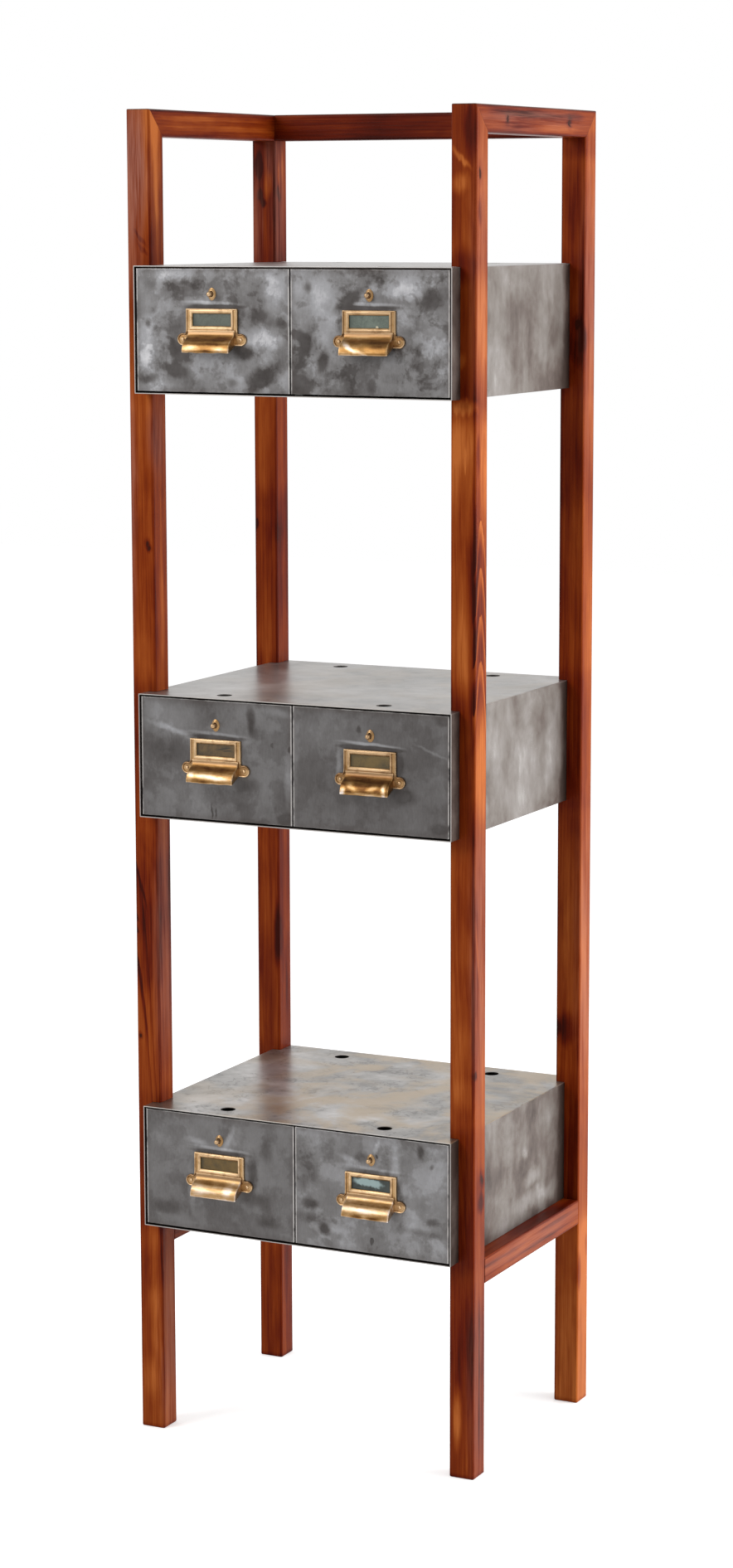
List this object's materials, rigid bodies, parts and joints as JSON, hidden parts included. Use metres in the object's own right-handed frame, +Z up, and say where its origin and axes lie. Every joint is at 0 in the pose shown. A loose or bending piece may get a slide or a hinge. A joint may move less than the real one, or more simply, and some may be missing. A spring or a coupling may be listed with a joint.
{
  "type": "modular drawer cabinet",
  "caption": "Tall open wooden frame with notched posts that carries stacked steel card drawer units, with brass label holder cup pulls and small turn catches.",
  "frame": {"origin": "on the floor under the middle of the object's box, in width and in depth from the cups' fronts to the back posts", "axes": "+Z up, drawers open towards -Y, +X to the right of someone facing the drawers"},
  "size_m": [0.54, 0.4576, 1.916],
  "materials": {
    "stained_pine": "glossy red-brown stain",
    "dowel_wood": "bare beech",
    "case_steel": "stripped and clear coated, smeared",
    "front_steel": "mottled dark steel with bright edges",
    "inner_steel": "dull grey steel",
    "screw_steel": "zinc plated",
    "brass": "polished cast brass, browned",
    "label_card": "aged card"
  },
  "bodies": {
    "frame": {"front_left_post": "stained_pine", "front_right_post": "stained_pine", "back_left_post": "stained_pine", "back_right_post": "stained_pine", "left_top_rail": "stained_pine", "right_top_rail": "stained_pine", "back_top_rail": "stained_pine", "left_stretcher": "stained_pine", "right_stretcher": "stained_pine", "frame_dowels": "dowel_wood", "case_screws": "screw_steel", "bottom_case": "case_steel", "bottom_back_panel": "case_steel", "bottom_partition": "inner_steel", "bottom_runners": "inner_steel", "middle_case": "case_steel", "middle_back_panel": "case_steel", "middle_partition": "inner_steel", "middle_runners": "inner_steel", "top_case": "case_steel", "top_back_panel": "case_steel", "top_partition": "inner_steel", "top_runners": "inner_steel"},
    "bottom_left_drawer": {"bottom_left_tray": "inner_steel", "bottom_left_front": "front_steel", "bottom_left_pull": "brass", "bottom_left_fixings": "brass", "bottom_left_label_card": "label_card"},
    "bottom_left_turn_catch": {"bottom_left_catch": "brass"},
    "bottom_right_drawer": {"bottom_right_tray": "inner_steel", "bottom_right_front": "front_steel", "bottom_right_pull": "brass", "bottom_right_fixings": "brass", "bottom_right_label_card": "label_card"},
    "bottom_right_turn_catch": {"bottom_right_catch": "brass"},
    "middle_left_drawer": {"middle_left_tray": "inner_steel", "middle_left_front": "front_steel", "middle_left_pull": "brass", "middle_left_fixings": "brass", "middle_left_label_card": "label_card"},
    "middle_left_turn_catch": {"middle_left_catch": "brass"},
    "middle_right_drawer": {"middle_right_tray": "inner_steel", "middle_right_front": "front_steel", "middle_right_pull": "brass", "middle_right_fixings": "brass", "middle_right_label_card": "label_card"},
    "middle_right_turn_catch": {"middle_right_catch": "brass"},
    "top_left_drawer": {"top_left_tray": "inner_steel", "top_left_front": "front_steel", "top_left_pull": "brass", "top_left_fixings": "brass", "top_left_label_card": "label_card"},
    "top_left_turn_catch": {"top_left_catch": "brass"},
    "top_right_drawer": {"top_right_tray": "inner_steel", "top_right_front": "front_steel", "top_right_pull": "brass", "top_right_fixings": "brass", "top_right_label_card": "label_card"},
    "top_right_turn_catch": {"top_right_catch": "brass"}
  },
  "joints": [
    {"name": "bottom_left_slide", "type": "slide", "parent": "frame", "child": "bottom_left_drawer", "axis": [0, -1, 0], "range_m": [0, 0.3]},
    {"name": "bottom_left_catch_turn", "type": "hinge", "parent": "bottom_left_drawer", "child": "bottom_left_turn_catch", "pos_m": [-0.12165, -0.20575, 0.4555], "axis": [0, -1, 0], "range_deg": [0, 90]},
    {"name": "bottom_right_slide", "type": "slide", "parent": "frame", "child": "bottom_right_drawer", "axis": [0, -1, 0], "range_m": [0, 0.3]},
    {"name": "bottom_right_catch_turn", "type": "hinge", "parent": "bottom_right_drawer", "child": "bottom_right_turn_catch", "pos_m": [0.12165, -0.20575, 0.4555], "axis": [0, -1, 0], "range_deg": [0, 90]},
    {"name": "middle_left_slide", "type": "slide", "parent": "frame", "child": "middle_left_drawer", "axis": [0, -1, 0], "range_m": [0, 0.3]},
    {"name": "middle_left_catch_turn", "type": "hinge", "parent": "middle_left_drawer", "child": "middle_left_turn_catch", "pos_m": [-0.12165, -0.20575, 1.0585], "axis": [0, -1, 0], "range_deg": [0, 90]},
    {"name": "middle_right_slide", "type": "slide", "parent": "frame", "child": "middle_right_drawer", "axis": [0, -1, 0], "range_m": [0, 0.3]},
    {"name": "middle_right_catch_turn", "type": "hinge", "parent": "middle_right_drawer", "child": "middle_right_turn_catch", "pos_m": [0.12165, -0.20575, 1.0585], "axis": [0, -1, 0], "range_deg": [0, 90]},
    {"name": "top_left_slide", "type": "slide", "parent": "frame", "child": "top_left_drawer", "axis": [0, -1, 0], "range_m": [0, 0.3]},
    {"name": "top_left_catch_turn", "type": "hinge", "parent": "top_left_drawer", "child": "top_left_turn_catch", "pos_m": [-0.12165, -0.20575, 1.6615], "axis": [0, -1, 0], "range_deg": [0, 90]},
    {"name": "top_right_slide", "type": "slide", "parent": "frame", "child": "top_right_drawer", "axis": [0, -1, 0], "range_m": [0, 0.3]},
    {"name": "top_right_catch_turn", "type": "hinge", "parent": "top_right_drawer", "child": "top_right_turn_catch", "pos_m": [0.12165, -0.20575, 1.6615], "axis": [0, -1, 0], "range_deg": [0, 90]}
  ]
}
